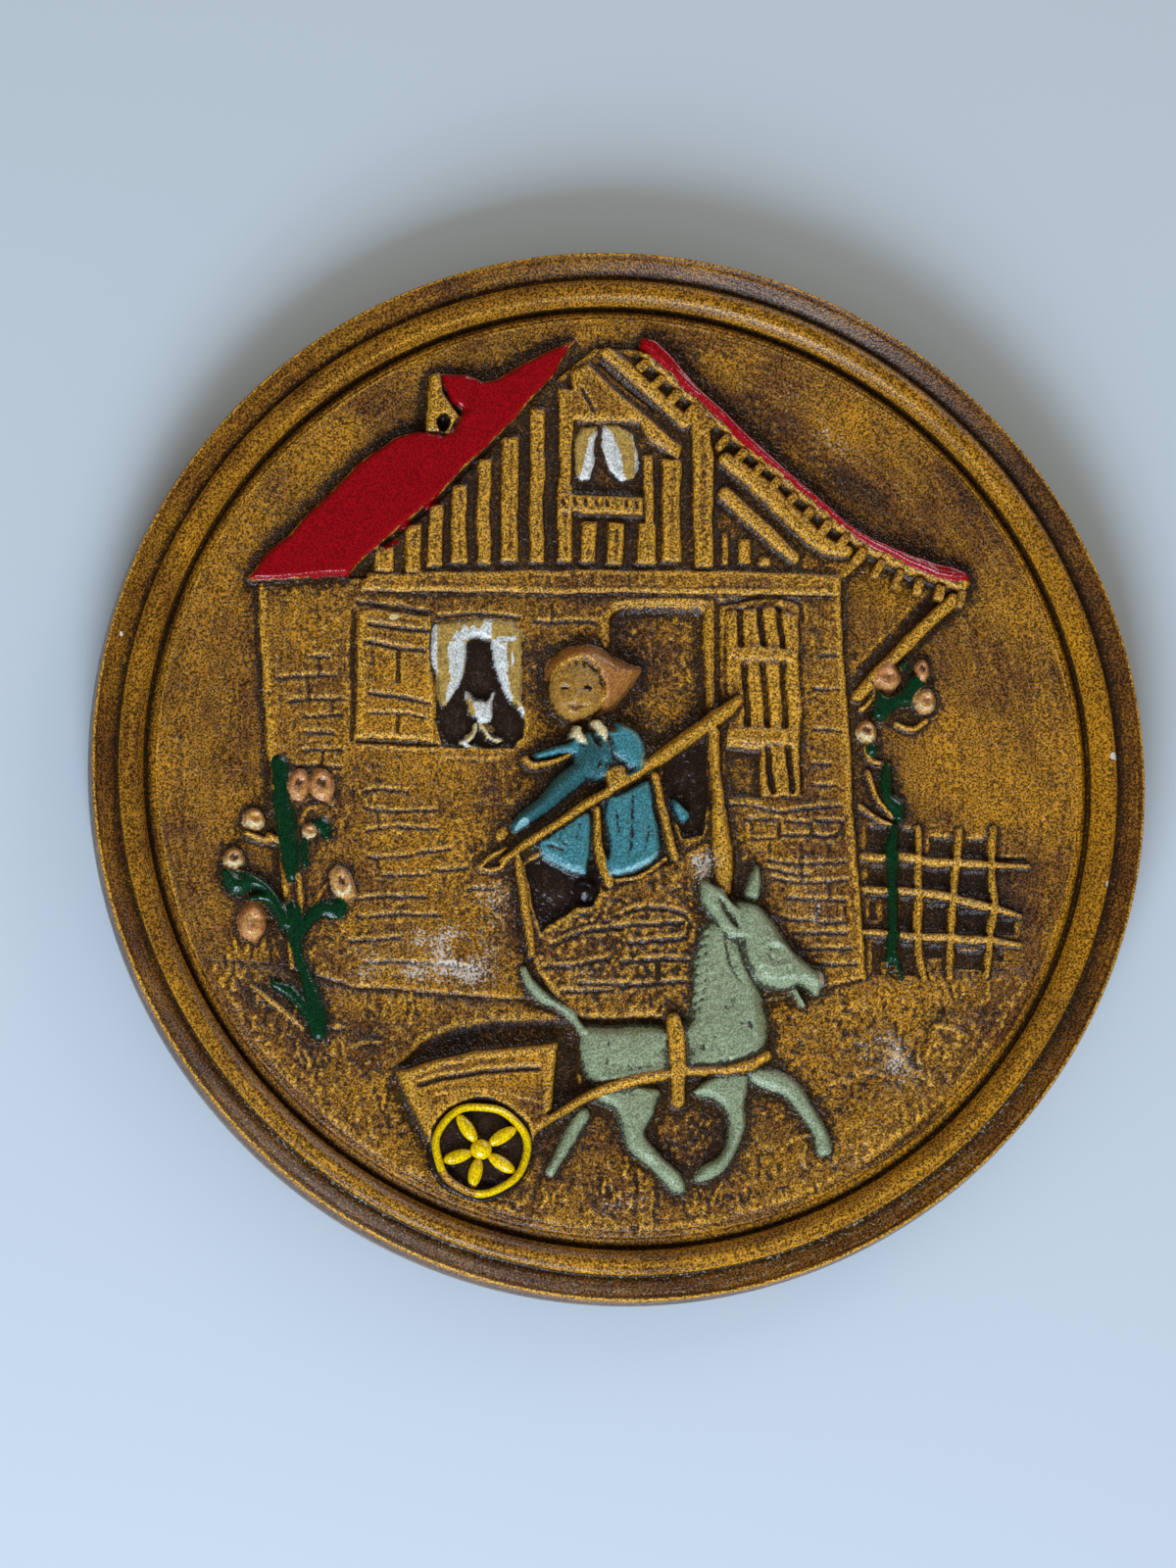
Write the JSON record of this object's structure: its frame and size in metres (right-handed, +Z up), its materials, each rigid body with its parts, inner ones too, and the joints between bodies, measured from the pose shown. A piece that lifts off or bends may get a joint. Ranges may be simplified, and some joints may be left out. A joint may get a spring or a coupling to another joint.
{
  "type": "round relief wall plaque",
  "caption": "Round cast wall plaque with a turned rim and a low-relief farmhouse scene with a donkey cart, flat at the back with a blind nail recess.",
  "frame": {"origin": "middle of the flat back face, which lies against the wall", "axes": "+Z up, the picture faces -Y, the back faces +Y"},
  "size_m": [0.25, 0.018, 0.25],
  "materials": {
    "stained_plaster": "satin varnish over a brown wood stain, with enamel paint on parts of the relief"
  },
  "bodies": {
    "root": {"plaque": "stained_plaster"}
  },
  "joints": []
}
